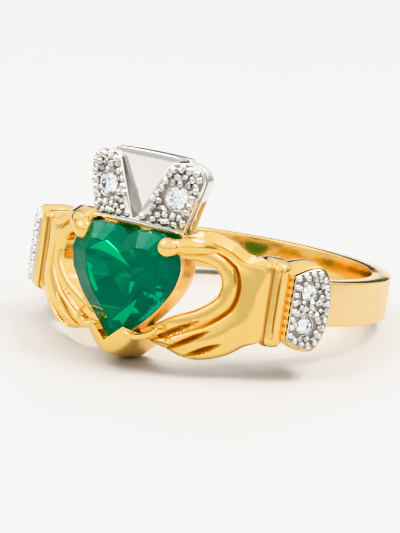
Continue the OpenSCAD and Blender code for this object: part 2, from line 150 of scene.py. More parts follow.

# %% [markdown]
# ## Cast and polished gold
# 18 carat gold, lost-wax cast, filed and buffed on a felt wheel. A metal's colour is all in its
# reflections, so the base colour is the gold's and metallic is 1. Buffing leaves fine random
# hairlines and a slight unevenness, which keep the highlights from looking like chrome plate: a
# soft bump with waves of 0.3 to 0.9 mm, and hairlines of about 0.05 mm in the roughness.
#
# The wheel doesn't reach the bottom of a groove, so the gold stays duller there. Its brown there is
# painted shade: the grooves, the crease by the wrist and the gap beside the hand are tinted darker
# where shade falls. A mesh can carry a number at each corner. The pieces with grooves carry one
# called "cut", from 0 on the buffed skin to 1 in a groove, and the recipe reads it for both the
# dulling and the painted shade. Elsewhere it reads as 0.

# %% Metal recipe
# The brown of the painted shade in grooves, the crease and the gap beside the hand.
PAINTED_SHADE_BROWN = "#A8743C"
DULLING = 0.3  # roughness that a groove adds


def cast_metal(name, light, deep, rough, wave_mm, wave_height, hair):
    material, tree, out, where = new_material(name)
    cut = add(tree, "ShaderNodeAttribute", {"attribute_name": "cut"}).outputs["Fac"]
    tint = two_tones(tree, where, 3.0, 1.0, deep, light)
    # Painted shade: the tint turns brown as "cut" rises.
    painted_shade_tint = add(tree, "ShaderNodeMix", {"data_type": "RGBA"}, _0=cut, _6=tint, _7=linear(PAINTED_SHADE_BROWN))
    hairs = add(tree, "ShaderNodeTexNoise", Vector=where, Scale=MM / 0.05, Detail=1.0)
    spread = add(tree, "ShaderNodeMapRange", _0=hairs.outputs[0], _1=0.3, _2=0.7,
                 _3=rough - hair, _4=rough + hair)
    dulled = add(tree, "ShaderNodeMath", {"operation": "MULTIPLY_ADD"}, _0=cut, _1=DULLING,
                 _2=spread.outputs[0])
    waves = add(tree, "ShaderNodeTexNoise", Vector=where, Scale=MM / wave_mm, Detail=2.0)
    bump = add(tree, "ShaderNodeBump", Height=waves.outputs[0], Distance=wave_height / MM,
               Strength=1.0)
    shader = add(tree, "ShaderNodeBsdfPrincipled", Base_Color=painted_shade_tint.outputs[2], Metallic=1.0,
                 Roughness=dulled.outputs[0], Normal=bump.outputs[0])
    tree.links.new(shader.outputs[0], out.inputs["Surface"])
    return material


# Name, light and deep tone, roughness, length and height of the waves in mm, hairlines.
# Buffed last with rouge: a mirror with soft, slightly wavering reflections.
POLISHED_GOLD = cast_metal("polished_18ct_yellow_gold", "#FFDA88", "#F9CF7A", 0.09,
                           0.9, 0.006, 0.02)
# The collet's wall, filed but out of the wheel's reach: pale and blurred.
CAST_GOLD = cast_metal("unbuffed_18ct_yellow_gold", "#FDE6BC", "#F3D6A2", 0.36, 0.4, 0.008, 0.05)
# The band's outside, brushed: an even cream sheen with no image in it.
SATIN_GOLD = cast_metal("satin_18ct_yellow_gold", "#FFE2AC", "#FDD79A", 0.30, 0.5, 0.006, 0.04)
# The finger hole, reamed round: nearly a mirror, which deepens what it sees of itself.
REAMED_GOLD = cast_metal("reamed_18ct_yellow_gold", "#FFDA90", "#F9CF7C", 0.14, 0.7, 0.008, 0.03)
# The crown's panel and the plates' edges: a cool grey mirror.
WHITE_GOLD = cast_metal("polished_white_gold", "#E4E0DC", "#D9D5D0", 0.10, 0.6, 0.005, 0.02)
# Beads raised with a graver: greyer, each with one small light in it.
BEAD_WHITE_GOLD = cast_metal("raised_bead_white_gold", "#CFCBC7", "#C3BFBA", 0.14,
                             0.6, 0.005, 0.02)
# The cut ground between the beads: matt, and darkened with painted shade as in a recess, so that
# the beads stand out.
MATT_SHADED_WHITE_GOLD = cast_metal("unpolished_white_gold_painted_shade", "#ACA7A1", "#88837D", 0.40,
                            0.3, 0.010, 0.05)
print("seven metals, from", POLISHED_GOLD.name, "to", MATT_SHADED_WHITE_GOLD.name)

# %% [markdown]
# ## Stones
# A cut stone is clear: light enters through the crown, bounces off the pavilion's facets and
# comes back as flashes, so its look is made by its facets and its refractive index, 1.58 for
# emerald and 2.42 for diamond. The emerald's green is its body colour. It is full of fine
# inclusions, so only part of the light goes through, and its own green tints what it mirrors.

# %% Stone recipes
EMERALD = toned_material("cut_emerald", 1.5, 3.0, "#006E50", "#007E5C", Roughness=0.0, IOR=1.58,
                         Transmission_Weight=0.62, Specular_Tint=linear("#1F8A68"))
DIAMOND = toned_material("cut_diamond", 1.5, 3.0, "#F4F6F8", "#FFFFFF", Roughness=0.0, IOR=2.417,
                         Transmission_Weight=1.0, Specular_Tint=linear("#FFFFFF"))
print("stones:", EMERALD.name, DIAMOND.name)

# %% [markdown]
# ## From a bmesh to a piece
# Every piece below is drawn in a bmesh, upright and in millimetres. The function "piece" lays
# it down as the ring lies, turns millimetres to metres, makes the faces point outwards and the
# edges sharp where they turn by more than a given angle, and hands it to the frame. It says
# which CAD solid the piece takes the place of. Most pieces are polished gold and dress the gold
# body, so those are the defaults. The two sides of the ring mirror each other, so "pair" makes
# both from one drawing.

# %% Finish a piece
def rotated(bm, angle, axis="Z"):
    """Turns a shape about the finger's axis, or about another one through the same middle."""
    bmesh.ops.rotate(bm, verts=bm.verts, cent=(0, 0, 0), matrix=Matrix.Rotation(angle, 3, axis))
    return bm


def to_object(name, bm, material):
    mesh = bpy.data.meshes.new(name)
    bm.to_mesh(mesh)
    bm.free()
    mesh.materials.append(material)
    made = bpy.data.objects.new(name, mesh)
    bpy.context.scene.collection.objects.link(made)
    return made


def piece(name, bm, material=POLISHED_GOLD, slot="yellow_gold", node="gold_shank", sharp=38):
    bmesh.ops.remove_doubles(bm, verts=bm.verts, dist=2e-4)
    bmesh.ops.recalc_face_normals(bm, faces=bm.faces)
    rotated(bm, -TILT, "X")
    bmesh.ops.scale(bm, verts=bm.verts, vec=(1 / MM,) * 3)
    made = to_object(name, bm, material)
    made.data.shade_smooth()
    made.data.set_sharp_from_angle(angle=math.radians(sharp))
    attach(made, "root")
    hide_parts(node)
    print(f"{name}: {len(made.data.polygons)} faces")
    return made


def mirrored(bm):
    """The same shape on the other side of the ring."""
    twin = bm.copy()
    bmesh.ops.scale(twin, verts=twin.verts, vec=(-1, 1, 1))
    return twin


def pair(name, bm, *rest, **more):
    """A left piece, mirrored, and the right one that was drawn. "SIDE" stands for the side."""
    made = []
    for side, shape in (("left", mirrored(bm)), ("right", bm)):
        words = {key: v.replace("SIDE", side) if key == "node" else v for key, v in more.items()}
        made.append(piece(name.replace("SIDE", side), shape, *rest, **words))
    return made


def wrapped(along, r, up):
    """A place from its arc length round the finger, its radius and its height."""
    angle = along / PALM_R
    return Vector((r * math.sin(angle), -r * math.cos(angle), up))


# %% [markdown]
# ## The band
# The band is an open loop, about three quarters of a circle, with softly broken edges. It is
# one profile spun about the finger: a small rectangle is made from a grid, its corners are
# beveled to round them, and spin carries it round from one wrist to the other. Faces can point
# at different materials of their piece, and here the outside is brushed and the hole reamed.

# %% Spin the band
HAND_START = HEART_W / 2
HAND_LEN = 4.42
WRIST = HAND_START + HAND_LEN


def spun_band():
    bm = bmesh.new()
    bmesh.ops.create_grid(bm, x_segments=1, y_segments=1, size=0.5)
    bmesh.ops.scale(bm, verts=bm.verts, vec=(BAND_T, BAND_W, 1))
    bmesh.ops.bevel(bm, geom=bm.verts[:], affect="VERTICES", offset=0.07, segments=3, profile=0.5,
                    material=-1)
    rotated(bm, math.pi / 2, "X")
    bmesh.ops.translate(bm, verts=bm.verts, vec=(FINGER_R + BAND_T / 2, 0, 0))
    start = WRIST / PALM_R - math.pi / 2
    rotated(bm, start)
    bmesh.ops.spin(bm, geom=bm.verts[:] + bm.edges[:] + bm.faces[:], cent=(0, 0, 0),
                   axis=(0, 0, 1), angle=2 * math.pi - 2 * (start + math.pi / 2), steps=160)
    for face in bm.faces:
        middle = face.calc_center_median()
        if abs(middle.z) < BAND_W / 2 - 0.08:
            face.material_index = 1 if middle.xy.length > BAND_R - 0.05 else 2
    return bm


band = piece("band", spun_band())
band.data.materials.append(SATIN_GOLD)
band.data.materials.append(REAMED_GOLD)

# %% [markdown]
# ## A sheet that follows a table
# The hands are free-form, so they can't come from a cube or a spin. They are made as a caster's
# wax would be, in sections: a grid is created, each of its corners is moved to its place on a
# curve through a short table of sections, its two long sides are merged into a closed tube,
# and its open ends are filled. The same grid carries the "cut" that the metal's recipe reads:
# each corner's share of dulling and of painted shade.

# %% Curves through tables, and the closed tube
def row_at(table, i):
    """A row at a place between the table's rows, on a smooth curve through them."""
    last = len(table) - 1
    k = min(int(i), last - 1)
    t = i - k
    a, b, c, d = table[max(k - 1, 0)], table[k], table[k + 1], table[min(k + 2, last)]
    return [0.5 * (2 * q + (r - p) * t + (2 * p - 5 * q + 4 * r - s) * t * t
                   + (3 * q - p - 3 * r + s) * t ** 3) for p, q, r, s in zip(a, b, c, d)]


def closed_tube(around, rows, place, cut=None):
    """A tube through placed stations, which may also give each one its share of dulling and painted
    shade.
    """
    bm = bmesh.new()
    # each corner's share of dulling and painted shade
    depth = bm.verts.layers.float.new("cut")
    bmesh.ops.create_grid(bm, x_segments=around, y_segments=rows, size=0.5)
    for corner in bm.verts:
        station = round((corner.co.x + 0.5) * around) % around
        row = round((corner.co.y + 0.5) * rows)
        corner.co = place(station, row)
        corner[depth] = cut(station, row) if cut else 0
    bmesh.ops.remove_doubles(bm, verts=bm.verts, dist=1e-4)
    bmesh.ops.holes_fill(bm, edges=[e for e in bm.edges if e.is_boundary])
    return bm


print("half way from 0 to 2 on the curve:", row_at([(0,), (2,)], 0.5)[0])

# %% [markdown]
# ## The hands
# Each hand is a broad palm with a window between the thumb and the fingers. Its section runs
# from a rounded lip at the window, over a crease, across the palm and down a crisp bevel to the
# outer edge. Three spindle-shaped grooves part the fingers. The table gives that section for
# each place from the thumb's end, round the window, to the fingertips. Along the hand is a
# share of its length, up a share of its height.

# %% Sections of a hand
HAND_H, HAND_T = 3.5, 1.1
RIM_W, RIM_H, RIM_FALL = 1.0, 0.16, 0.12
BEVEL_W, BEVEL_FALL = 0.5, 0.6
CREASE_W, CREASE_D = 0.16, 0.2
PALM_SWELL, RIDGE_HOLLOW = 0.16, 0.3  # the palm bulges, and is hollow below a crisp ridge
THUMB_LIFT = GIRDLE_Y + 0.48 - PALM_R
# window edge along, up; outer edge along, up; thumb lift, thickness, rim, crisp bevel
HAND = [
    (-0.140, 0.530, -0.130, 0.790, 1.09, 1.00, 0.0, 0.0),
    (-0.040, 0.520, -0.050, 0.880, 0.90, 1.00, 0.0, 0.4),
    (0.090, 0.510, 0.070, 0.940, 0.46, 1.00, 0.2, 1.0),
    (0.230, 0.480, 0.285, 0.945, 0.13, 1.05, 0.6, 1.0),
    (0.350, 0.420, 0.550, 0.850, 0.00, 1.15, 0.9, 1.0),
    (0.425, 0.320, 0.780, 0.700, 0.00, 1.35, 1.0, 1.0),
    (0.455, 0.200, 1.060, 0.590, 0.00, 1.60, 1.0, 0.6),
    (0.450, 0.100, 1.070, 0.030, 0.00, 1.75, 1.0, 0.2),
    (0.425, 0.000, 1.055, -0.530, 0.00, 1.70, 1.0, 0.0),
    (0.330, -0.120, 0.850, -0.740, 0.00, 1.50, 1.0, 0.0),
    (0.180, -0.254, 0.625, -0.920, 0.03, 1.30, 0.9, 0.0),
    (0.000, -0.360, 0.330, -1.040, 0.06, 1.20, 0.7, 0.0),
    (-0.120, -0.437, 0.080, -1.040, 0.05, 1.15, 0.5, 0.0),
    (-0.310, -0.594, -0.120, -0.970, -0.13, 1.15, 0.3, 0.0),
    (-0.530, -0.730, -0.350, -0.900, -0.38, 1.10, 0.0, 0.0)]
# wrist end along, up; tip end along, up
GROOVES = [(0.270, -0.394, -0.360, -0.880), (0.410, -0.529, -0.160, -0.975),
           (0.570, -0.706, 0.090, -1.030)]
GROOVE_W, GROOVE_D = 0.2, 0.36

# A station is a share of the lip, of the palm and of the bevel that have been crossed.
FRONT = ([(a / 14, 0, 0) for a in range(15)] + [(1, b / 80, 0) for b in range(1, 81)]
         + [(1, 1, c / 9) for c in range(1, 10)])
BACK = [(1, 1, 0.9), (1, 0.66, 0), (1, 0.33, 0), (0.5, 0, 0), (0.04, 0, 0)]
print("sections in the table:", len(HAND), "stations round each:", len(FRONT) + len(BACK))

# %% [markdown]
# Three functions read the table: where a station lies on the unrolled palm, how deep the cuts
# between the fingers are there, and how far it is from the crease. The last two also say where
# the gold is duller and where shade is painted.

# %% Grooves and crease
def on_palm(along, up):
    return Vector((HAND_START + along * HAND_LEN, up * HAND_H))


def section_place(row, k):
    """Where a station lies on the unrolled palm. A narrow section shrinks its rim and bevel."""
    p, q = on_palm(*row[:2]), on_palm(*row[2:4])
    wide = (q - p).length
    s = min(1, wide / (1.35 * (RIM_W + BEVEL_W)))
    across = s * (k[0] * RIM_W + k[2] * BEVEL_W) + k[1] * (wide - s * (RIM_W + BEVEL_W))
    return p + (q - p) / wide * across, s


def groove_depth(at):
    """How deep the spindle-shaped cuts between the fingers are at a place."""
    deepest = 0
    for g in GROOVES:
        a = on_palm(*g[:2])
        run = on_palm(*g[2:]) - a
        t = (at - a).dot(run) / run.length_squared
        if 0 < t < 1.15:
            half = GROOVE_W * math.sin(math.pi * (t / 1.15) ** 0.75)
            off = abs((at - a).cross(run)) / run.length
            if off < half:
                deepest = max(deepest, GROOVE_D * half / GROOVE_W * (1 - off / half))
    return deepest


def crease_near(k, s, width):
    """1 in the crease between lip and palm, falling to 0 over this width."""
    off = s * (1 - k[0]) * RIM_W if k[1] == 0 else k[1] * 3
    return math.exp(-(off / width) ** 2)


def hand_painted_shade(row, station):
    """How much dulling and painted shade a station gets: in the grooves, and in the crease only
    beside the wrist.
    """
    if station >= len(FRONT):
        return 0
    k = FRONT[station]
    at, s = section_place(row, k)
    crease = row[6] ** 6 * crease_near(k, s, 0.7 * CREASE_W)
    return min(0.85, groove_depth(at) / GROOVE_D + 0.8 * crease)


print("depth in the middle of a groove:", round(groove_depth(on_palm(-0.045, -0.637)), 2), "mm")

# %% [markdown]
# Now each station gets its height over the finger: the palm's radius, the lip's rise, the
# crease, the palm's swell, the bevel's fall and the grooves. Near the wrist the bevel falls
# less, so that the hand runs into the bead there.

# %% Hands
def hand_point(row, station):
    if station >= len(FRONT):
        at, s = section_place(row, BACK[station - len(FRONT)])
        behind = PALM_R + row[4] * THUMB_LIFT - HAND_T * row[5]
        return wrapped(at.x, max(behind, FINGER_R + RELIEF), at.y)
    k = FRONT[station]
    at, s = section_place(row, k)
    lip = row[6] * RIM_H * (1 - abs(2 * k[0] - 1) ** 3) - RIM_FALL * max(0, 1 - 6 * k[0]) ** 2
    crease = row[6] * CREASE_D * crease_near(k, s, CREASE_W)
    swell = (PALM_SWELL - RIDGE_HOLLOW * row[7]) * math.sin(math.pi * k[1])
    wrist = max(0, min(1, (row[2] - 0.85) / 0.15))
    edge = BEVEL_FALL * (1 - 0.8 * wrist) * (
        row[7] * k[2] + (1 - row[7]) * (1 - math.sqrt(1 - k[2] ** 2)))
    height = PALM_R + row[4] * THUMB_LIFT + lip - crease + swell - edge - groove_depth(at)
    return wrapped(at.x, height, at.y)


PER_ROW = 36  # steps from one section of the table to the next
hand = closed_tube(len(FRONT) + len(BACK), (len(HAND) - 1) * PER_ROW,
                   lambda station, j: hand_point(row_at(HAND, j / PER_ROW), station),
                   lambda station, j: hand_painted_shade(row_at(HAND, j / PER_ROW), station))
pair("hand_SIDE", hand, sharp=26)

# %% [markdown]
# ## The thumbs
# A thumb is a small bar with a bulb at its end, laid on the heart's shoulder. It is a tube
# whose sections follow a path and swell and shrink as the table says.

# %% Thumbs
# place x, y, z and radius
THUMB = [
    (2.20, -12.00, 2.22, 0.02), (2.22, -12.00, 2.22, 0.22), (2.32, -12.00, 2.23, 0.40),
    (2.50, -12.00, 2.26, 0.53), (2.72, -11.98, 2.31, 0.57), (2.93, -11.90, 2.37, 0.52),
    (3.10, -11.76, 2.43, 0.42), (3.24, -11.62, 2.47, 0.40), (3.42, -11.42, 2.51, 0.48),
    (3.70, -11.08, 2.55, 0.53), (4.05, -10.66, 2.56, 0.50), (4.40, -10.25, 2.52, 0.38),
    (4.70, -9.90, 2.46, 0.20)]


def tube_point(path, i, turn):
    """A place on a round tube along a path, at this turn about it."""
    at = Vector(row_at(path, i)[:3])
    ahead = Vector(row_at(path, min(i + 0.05, len(path) - 1))[:3])
    back = Vector(row_at(path, max(i - 0.05, 0))[:3])
    run = (ahead - back).normalized()
    side = run.cross(Vector((0, 0, 1))).normalized()
    up = side.cross(run)
    r = max(row_at(path, i)[3], 0.01)
    return at + r * (math.cos(turn) * side + math.sin(turn) * up)


thumb = closed_tube(32, (len(THUMB) - 1) * 5,
                    lambda s, j: tube_point(THUMB, j / 5, 2 * math.pi * s / 32))
pair("thumb_SIDE", thumb)

# %% [markdown]
# ## The heart's outline
# Three Bezier curves draw half of the heart, from the cleft over the lobe to the tip. The
# collet, the V prong and the stone all follow it, so it is one function.

# %% Heart outline
# corners of the three curves, as shares of the half width and the height
HEART = [(0, -0.075), (0.13, -0.005), (0.29, 0), (0.47, 0), (0.77, 0), (1, -0.12), (1, -0.285),
         (1, -0.5), (0.56, -0.77), (0, -1)]


def bezier(corners, t):
    weights = ((1 - t) ** 3, 3 * t * (1 - t) ** 2, 3 * t * t * (1 - t), t ** 3)
    return sum((corner * weight for corner, weight in zip(corners, weights)), Vector((0, 0)))


def heart_half(steps):
    """Points and outward normals from the cleft to the tip, as x and z."""
    corners = [Vector((x * (HEART_W / 2), z * HEART_H)) for x, z in HEART]
    points = []
    for first, share in ((0, 0.25), (3, 0.3), (6, 0.45)):
        curve = corners[first:first + 4]
        count = round(share * steps)
        for i in range(count + (first == 6)):
            t = i / count
            run = bezier(curve, min(t + 0.01, 1)) - bezier(curve, max(t - 0.01, 0))
            normal = Vector((-run.y, run.x)).normalized()
            points.append((bezier(curve, t) + Vector((0, LOBE_TOP)), normal))
    return points


print("heart half outline:", len(heart_half(24)), "points")

# %% [markdown]
# ## The collet
# The stone rests on an open wall that follows its outline from one thumb round the tip to the
# other. The wall is a tube with a flat section, carried along the outline. At the tip its two
# sides meet at an angle, so the section reaches further out there.

# %% Collet
# offset from the outline, distance behind the girdle
WALL = [(0.10, 0.02), (0.13, 0.30), (0.16, 0.80), (0.17, 1.25), (0.10, 1.50), (-0.15, 1.58),
        (-0.36, 1.45), (-0.36, 0.40), (-0.30, 0.22), (-0.02, 0.02), (0.04, -0.02), (0.08, -0.02)]


def collet_tube(steps=60):
    half = [p for p in heart_half(steps) if p[0].y < LOBE_TOP - 0.62 and p[0].x > 1 or p[0].y < 0]
    half[-1] = (half[-1][0], Vector((0, -1.35)))  # the mitre at the tip
    path = [(Vector((-p.x, p.y)), Vector((-n.x, n.y))) for p, n in half] + half[-2::-1]

    def place(s, j):
        point, normal = path[j]
        at = point + normal * WALL[s][0]
        return Vector((at.x, WALL[s][1] - GIRDLE_Y, at.y))
    return closed_tube(len(WALL), len(path) - 1, place)


piece("collet", collet_tube(), CAST_GOLD)

# %% [markdown]
# ## The heel and the V prong
# Under the heart's tip the casting swells into a heel, the foot that the head rests on, and
# a V-shaped prong folds over the tip. The heel is a tube of sections that run back from the
# prong towards the finger: a straight top and a belly that turns from a V to a round keel.

# %% Heel
HEEL_Y = FINGER_R + 1.07
# share of the way back, belly's lowest point, half width, top in the middle, top at the sides,
# roundness of the belly
HEEL = [
    (0.000, -3.34, 1.08, -3.29, -2.32, 1.0), (0.030, -3.60, 1.24, -3.31, -2.38, 1.3),
    (0.085, -3.84, 1.46, -3.34, -2.46, 1.6), (0.130, -3.96, 1.57, -3.37, -2.50, 1.75),
    (0.190, -4.06, 1.66, -3.42, -2.55, 1.9), (0.340, -4.20, 1.75, -3.45, -2.62, 2.0),
    (0.500, -4.29, 1.79, -3.30, -2.66, 2.1), (0.700, -4.38, 1.80, -3.00, -2.72, 2.2),
    (0.850, -4.44, 1.80, -2.84, -2.78, 2.2), (1.000, -4.47, 1.80, -2.84, -2.84, 2.2),
    (1.120, -4.34, 1.72, -3.00, -3.00, 2.2), (1.220, -4.14, 1.62, -3.20, -3.20, 2.2)]


def heel_point(row, s):
    y = row[0] * (FRONT_Y - HEEL_Y) - FRONT_Y
    if s < 16:
        x = 1 - s / 8
        return Vector((row[2] * x, y, row[3] + (row[4] - row[3]) * abs(x)))
    x = -1 + (s - 16) / 10
    return Vector((row[2] * x, y, row[1] + (row[4] - 0.02 - row[1]) * abs(x) ** row[5]))


heel = closed_tube(36, (len(HEEL) - 1) * 8, lambda s, j: heel_point(row_at(HEEL, j / 8), s))
piece("heel", heel)

# %% [markdown]
# A small leaf curls from behind the prong to the collet on either side, where the caster's wax
# was bent out of the way of the fingertips. It is a tube on a short path, like the thumb.

# %% Leaves behind the prong
# x, y, z and radius
LEAF = [(0.80, -12.25, -2.50, 0.06), (1.02, -12.38, -2.58, 0.13), (1.30, -12.42, -2.72, 0.17),
        (1.63, -12.38, -2.78, 0.16), (2.00, -12.20, -2.70, 0.14), (2.35, -11.90, -2.50, 0.14),
        (2.50, -11.60, -2.25, 0.12), (2.40, -11.30, -2.00, 0.06)]
leaf = closed_tube(16, (len(LEAF) - 1) * 4,
                   lambda s, j: tube_point(LEAF, j / 4, 2 * math.pi * s / 16))
pair("leaf_SIDE", leaf)

# %% [markdown]
# ## Slabs
# The crown, the plaques and the cuffs are plates with a drawn outline. A circle with as many
# corners as the outline is created and each corner is moved to its place. Then the face is
# extruded to the plate's thickness, and its edges are beveled as the polishing wheel rounds
# them. Where a stone sits in a plate, the plate is drilled: the fill of its outline leaves
# round rings open.

# %% Plates
def slab(outline, y_back, y_front, soft=0.05, holes=()):
    """A plate with this outline. A hole is a middle and a radius, and the front round it takes the
    piece's second material, its painted shade.
    """
    bm = bmesh.new()
    turns = [k * math.pi / 16 for k in range(32)]
    rings = [[at + r * Vector((math.cos(t), math.sin(t))) for t in turns] for at, r in holes]
    for path in [outline] + rings:
        ring = bmesh.ops.create_circle(bm, cap_ends=not holes, segments=len(path), radius=1.0)
        for corner, (x, z) in zip(ring["verts"], path):
            corner.co = Vector((x, -y_back, z))
    if holes:
        bmesh.ops.triangle_fill(bm, edges=bm.edges[:], use_beauty=True)
    grown = bmesh.ops.extrude_face_region(bm, geom=bm.faces[:])
    front = [g for g in grown["geom"] if isinstance(g, bmesh.types.BMVert)]
    bmesh.ops.translate(bm, verts=front, vec=(0, y_back - y_front, 0))
    bmesh.ops.recalc_face_normals(bm, faces=bm.faces)
    rim = [e for e in bm.edges if e.calc_face_angle(0) > 1
           and all(abs(v.co.y + y_front) < 1e-4 for v in e.verts)]
    if soft:
        bmesh.ops.bevel(bm, geom=rim, affect="EDGES", offset=soft, segments=3, profile=0.5,
                        material=-1)
    for face in bm.faces:
        in_front = face.normal.y < -0.99 and abs(face.calc_center_median().y + y_front) < 1e-4
        face.material_index = int(in_front and len(holes) > 0)
    return bm


SQUARE = [Vector(corner) for corner in ((0, 0), (1, 0), (1, 1), (0, 1))]
sample = slab(SQUARE, 0, 1)
print("a square plate has", len(sample.faces), "faces")
sample.free()

# %% [markdown]
# A few helpers more: one moves an outline in or out, one joins two shapes in a mesh, one moves
# a shape, one makes a ball, and one sets balls in a row along an outline, which is how a
# jeweller's milgrain wheel marks an edge.

# %% Outlines, balls and milgrain
def inset_path(path, by):
    """A closed path moved by a distance towards its left, corner by corner."""
    moved = []
    for last, here, following in zip(path[-1:] + path[:-1], path, path[1:] + path[:1]):
        a, b = here - last, following - here
        na, nb = Vector((-a.y, a.x)).normalized(), Vector((-b.y, b.x)).normalized()
        moved.append(here + by * (na + nb) / (1 + na.dot(nb)))
    return moved


def join_into(target, source):
    """Adds one bmesh to another."""
    mesh = bpy.data.meshes.new("passing")
    source.to_mesh(mesh)
    target.from_mesh(mesh)
    bpy.data.meshes.remove(mesh)
    source.free()
    return target


def placed(bm, matrix):
    bmesh.ops.transform(bm, matrix=matrix, verts=bm.verts)
    return bm


def ball(r, at, level=2):
    bm = bmesh.new()
    bmesh.ops.create_icosphere(bm, subdivisions=level, radius=r, matrix=Matrix.Translation(at))
    return bm


def beads_along(path, y, r, pitch, sides):
    """Beads spaced along the first sides of a closed path, on a plate's face."""
    ends = (path + path[:1])[:sides + 1]
    marks = [0.0]
    for a, b in zip(ends, ends[1:]):
        marks.append(marks[-1] + (b - a).length)
    count = round(marks[-1] / pitch)
    row = bmesh.new()
    for k in range(count + (sides < len(path))):
        s = k * marks[-1] / count
        i = max(j for j in range(sides) if marks[j] <= s)
        p = ends[i].lerp(ends[i + 1], (s - marks[i]) / (marks[i + 1] - marks[i]))
        join_into(row, ball(r, (p.x, -y, p.y)))
    return row


print("a square moved in by 0.1 begins at", [round(q, 3) for q in inset_path(SQUARE, 0.1)[0]])

# %% [markdown]
# ## Pavé
# A setter raises small beads of metal all over a plate with a graver, and leaves dark cuts
# between them. Here faceted balls are packed over the plate's face in staggered rows. Each is
# nudged and turned by a seeded chance, because a setter's hand is never quite even. There are
# hundreds, so each has 20 or 80 faces, as flat as the graver leaves them.

# %% Packed beads
CHANCE = random.Random(5)
ROW_RISE = 0.87  # from one staggered row to the next, in pitches


def room(path, at):
    """Distance from a place to the nearest side of a closed path, negative outside it."""
    inside, nearest = False, 1e9
    for a, b in zip(path, path[1:] + path[:1]):
        if (a.y > at.y) != (b.y > at.y) and at.x < a.x + (at.y - a.y) * (b.x - a.x) / (b.y - a.y):
            inside = not inside
        t = max(0, min(1, (at - a).dot(b - a) / (b - a).length_squared))
        nearest = min(nearest, (a.lerp(b, t) - at).length)
    return nearest if inside else -nearest


def packed_beads(path, y, r, pitch, margin, clear):
    """Beads over an outline, a margin from its edge and clear of each middle by its distance."""
    field = bmesh.new()
    low, high = (Vector((end(p.x for p in path), end(p.y for p in path))) for end in (min, max))
    columns = round((high.x - low.x) / pitch)
    rows = round((high.y - low.y) / (ROW_RISE * pitch))
    for i in range((columns + 1) * (rows + 1)):
        j = i // (columns + 1)
        at = low + Vector((i % (columns + 1) + 0.5 * (j % 2), ROW_RISE * j)) * pitch
        at += 0.12 * pitch * Vector((CHANCE.uniform(-1, 1), CHANCE.uniform(-1, 1)))
        if room(path, at) > margin and all((at - c).length > far for c, far in clear):
            bead = ball(r * CHANCE.uniform(0.85, 1.15), (0, 0, 0), level=CHANCE.choice((1, 2)))
            turn = Matrix.Rotation(CHANCE.uniform(0, 6), 4, (1, CHANCE.uniform(-1, 1), 1))
            join_into(field, placed(bead, Matrix.Translation((at.x, -y, at.y)) @ turn))
    return field


print("room in the middle of a square of side 1:", room(SQUARE, Vector((0.5, 0.5))))

# %% [markdown]
# ## The cuffs
# Each wrist ends in a D-shaped block that carries the plaque. The block is a slab, its front is
# inset and sunk to make the plaque's seat, and its two ends are filed into a slight dome. They
# are cut across first, because a face without corners in its middle can't bend.

# %% Cuff blocks
PLAQUE_W, PLAQUE_H, PLAQUE_T = 2.35, 4.5, 0.6
BEAD_D, BEAD_H = 1.26, 4.6
GRAIN_ROW = WRIST + BEAD_D + 0.04
PLAQUE_START = GRAIN_ROW + 0.14
PLAQUE_TURN = PLAQUE_START / PALM_R + math.atan(PLAQUE_W / 2 / FACE_R)
SEAT_R = FACE_R - PLAQUE_T - GAP
CUFF_FACE = FACE_R - 0.12
CUFF_RIM = 0.08  # gold round the plaque's seat
DOME_STEP, DOME_DEPTH = 0.35, 2.5  # between two cuts, and from the face to the finger


def plaque_outline(fine=2):
    """Two curves draw its upper half, in shares of its width and height."""
    corners = [Vector((x * PLAQUE_W, z * PLAQUE_H)) for x, z in (
        (-0.5, 0.39), (-0.3, 0.45), (-0.1, 0.5), (0.1, 0.5), (0.33, 0.5), (0.5, 0.25), (0.5, 0))]
    upper = [bezier(corners[:4], i / (4 * fine)) for i in range(4 * fine)]
    upper += [bezier(corners[3:], i / (6 * fine)) for i in range(6 * fine + 1)]
    return upper + [Vector((p.x, -p.y)) for p in upper[-2::-1]]


def domed(bm, front, rise):
    """A block whose ends swell a little between its front and the finger."""
    for k in range(1, 8):
        bmesh.ops.bisect_plane(bm, geom=bm.verts[:] + bm.edges[:] + bm.faces[:],
                               plane_co=(0, DOME_STEP * k - front, 0), plane_no=(0, 1, 0))
    for corner in bm.verts:
        share = max(0, min(1.15, (corner.co.y + front) / DOME_DEPTH))
        corner.co.z *= 1 + rise * math.sin(math.pi * share)
    return bm


def cuff_block():
    outer = inset_path(plaque_outline(), CUFF_RIM + GAP)
    bm = slab(outer, FINGER_R + RELIEF + 0.02, CUFF_FACE)
    face = max(bm.faces, key=lambda f: -f.calc_center_median().y)
    bmesh.ops.inset_individual(bm, faces=[face], thickness=CUFF_RIM)
    bmesh.ops.translate(bm, verts=face.verts[:], vec=(0, CUFF_FACE - SEAT_R, 0))
    return rotated(domed(bm, CUFF_FACE - 0.02, 0.07), PLAQUE_TURN)


pair("cuff_SIDE", cuff_block())

# %% [markdown]
# Beside the block stands an upright half-round bead, like a cuff's button band. A thin line is
# scored along its front and another lies where it meets the hand. A row of gold grains fills
# the narrow space between bead and plaque.

# %% Beads at the wrists
ROUND, AROUND, BEAD_ROWS = 24, 27, 32  # stations on the front, stations in all, rows
SCORE_AT, SCORE_W, SCORE_D = -0.08, 0.05, 0.08


